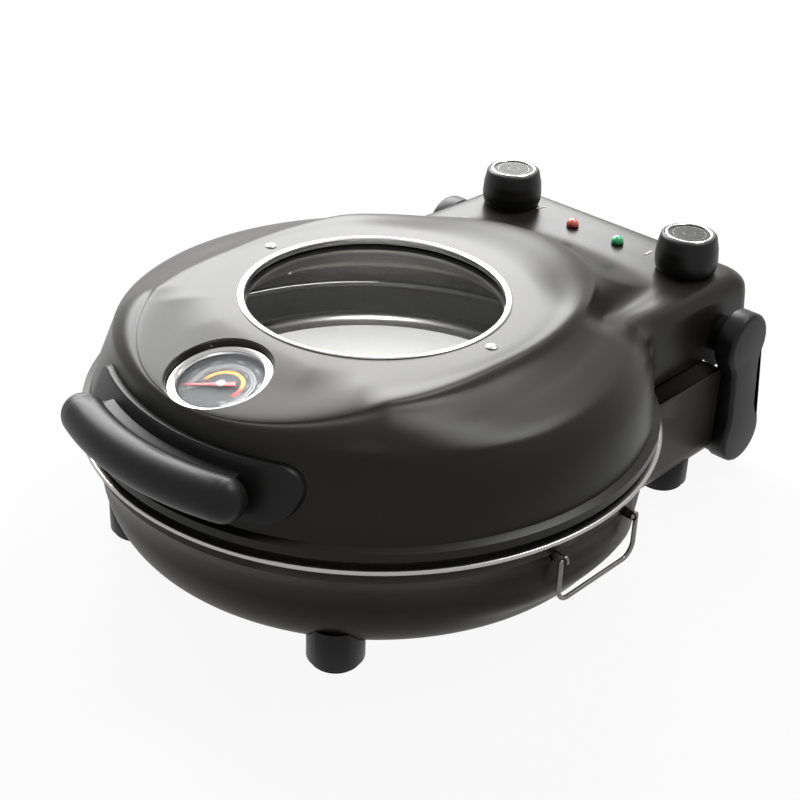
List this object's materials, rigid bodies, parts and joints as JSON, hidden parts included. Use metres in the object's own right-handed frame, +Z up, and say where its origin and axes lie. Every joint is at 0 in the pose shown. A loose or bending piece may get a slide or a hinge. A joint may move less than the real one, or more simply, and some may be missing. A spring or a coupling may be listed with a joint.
{
  "type": "electric pizza maker",
  "caption": "Round countertop pizza maker: hinged domed lid with glass window, gauge, control hump with knobs and lamps, stone in a footed base, wire bails at the sides.",
  "frame": {"origin": "middle of the footprint of the closed object, on the table under the foot pads", "axes": "+Z up, -Y to the front (handle), +Y to the rear (hinge arms), +X to the right as seen from the front"},
  "size_m": [0.355, 0.4395, 0.1566],
  "materials": {
    "lid_paint": "satin metallic charcoal paint",
    "base_paint": "satin metallic taupe-brown paint",
    "rim_steel": "polished",
    "liner_steel": "satin sheet",
    "element_sheath": "heat-darkened",
    "zinc_steel": "zinc plated",
    "stone": "matt cordierite",
    "black_plastic": "satin black",
    "rubber": "matt",
    "window_glass": "clear tempered",
    "silicone": "matt",
    "chrome": "bright",
    "gauge_face": "matt black print",
    "gauge_glass": "clear",
    "needle_red": "matt red",
    "needle_hub": "white",
    "knob_plastic": "satin black",
    "knob_disc": "satin dark grey",
    "lamp_red": "clear red",
    "lamp_green": "clear green",
    "ceramic": "glazed ceramic",
    "control_case": "moulded"
  },
  "bodies": {
    "base": {"base_shell": "base_paint", "base_rim_ring": "rim_steel", "base_liner": "liner_steel", "lower_heating_element": "element_sheath", "lower_element_posts": "zinc_steel", "pizza_stone": "stone", "rear_bottom_cover": "liner_steel", "bottom_cover_screws": "zinc_steel", "foot_front_left": "black_plastic", "foot_front_right": "black_plastic", "foot_rear_left": "black_plastic", "foot_rear_right": "black_plastic", "foot_pads": "rubber", "foot_screws": "zinc_steel", "bail_bracket_left": "zinc_steel", "bail_bracket_right": "zinc_steel", "cord_bush": "rubber", "terminal_block": "ceramic"},
    "hinge_arms": {"hinge_arm_left": "black_plastic", "hinge_arm_right": "black_plastic", "upper_hinge_pins": "zinc_steel", "lower_hinge_pins": "zinc_steel"},
    "lid": {"lid_shell": "lid_paint", "lid_liner": "liner_steel", "hump_cover": "black_plastic", "hump_cover_screws": "zinc_steel", "lid_hinge_block_left": "zinc_steel", "lid_hinge_block_right": "zinc_steel", "upper_heating_element": "element_sheath", "upper_element_clips": "zinc_steel", "window_ring": "rim_steel", "window_glass": "window_glass", "window_seal": "silicone", "window_clamp": "liner_steel", "window_screws": "zinc_steel", "gauge_bezel": "chrome", "gauge_case": "zinc_steel", "gauge_dial": "gauge_face", "gauge_lens": "gauge_glass", "gauge_probe": "zinc_steel", "handle": "black_plastic", "handle_screws": "zinc_steel", "lamp_red": "lamp_red", "lamp_green": "lamp_green", "thermostat_body": "control_case", "timer_body": "control_case"},
    "thermostat_knob": {"thermostat_knob": "knob_plastic", "thermostat_knob_ring": "chrome", "thermostat_knob_disc": "knob_disc", "thermostat_shaft": "zinc_steel"},
    "timer_knob": {"timer_knob": "knob_plastic", "timer_knob_ring": "chrome", "timer_knob_disc": "knob_disc", "timer_shaft": "zinc_steel"},
    "gauge_needle": {"gauge_needle": "needle_red", "gauge_needle_hub": "needle_hub"},
    "bail_left": {"bail_left": "rim_steel"},
    "bail_right": {"bail_right": "rim_steel"}
  },
  "joints": [
    {"name": "arms_tilt", "type": "hinge", "parent": "base", "child": "hinge_arms", "pos_m": [0, 0.18825, 0.027], "axis": [-1, 0, 0], "range_deg": [0, 40]},
    {"name": "lid_lift", "type": "hinge", "parent": "hinge_arms", "child": "lid", "pos_m": [0, 0.18125, 0.096], "axis": [-1, 0, 0], "range_deg": [0, 60]},
    {"name": "thermostat_turn", "type": "hinge", "parent": "lid", "child": "thermostat_knob", "pos_m": [0.0737, 0.18425, 0.128], "axis": [0, 0, -1], "range_deg": [0, 270]},
    {"name": "timer_turn", "type": "hinge", "parent": "lid", "child": "timer_knob", "pos_m": [-0.0737, 0.18425, 0.128], "axis": [0, 0, -1], "range_deg": [0, 300]},
    {"name": "gauge_needle_turn", "type": "hinge", "parent": "lid", "child": "gauge_needle", "pos_m": [0, -0.14755, 0.13975], "axis": [0, 0.2079, -0.9781], "range_deg": [0, 250], "stiffness_Nm_per_rad": 0.0001},
    {"name": "bail_left_swing", "type": "hinge", "parent": "base", "child": "bail_left", "pos_m": [-0.1746, -0.02875, 0.07], "axis": [0, 1, 0], "range_deg": [-8, 150]},
    {"name": "bail_right_swing", "type": "hinge", "parent": "base", "child": "bail_right", "pos_m": [0.1746, -0.02875, 0.07], "axis": [0, -1, 0], "range_deg": [-8, 150]}
  ]
}
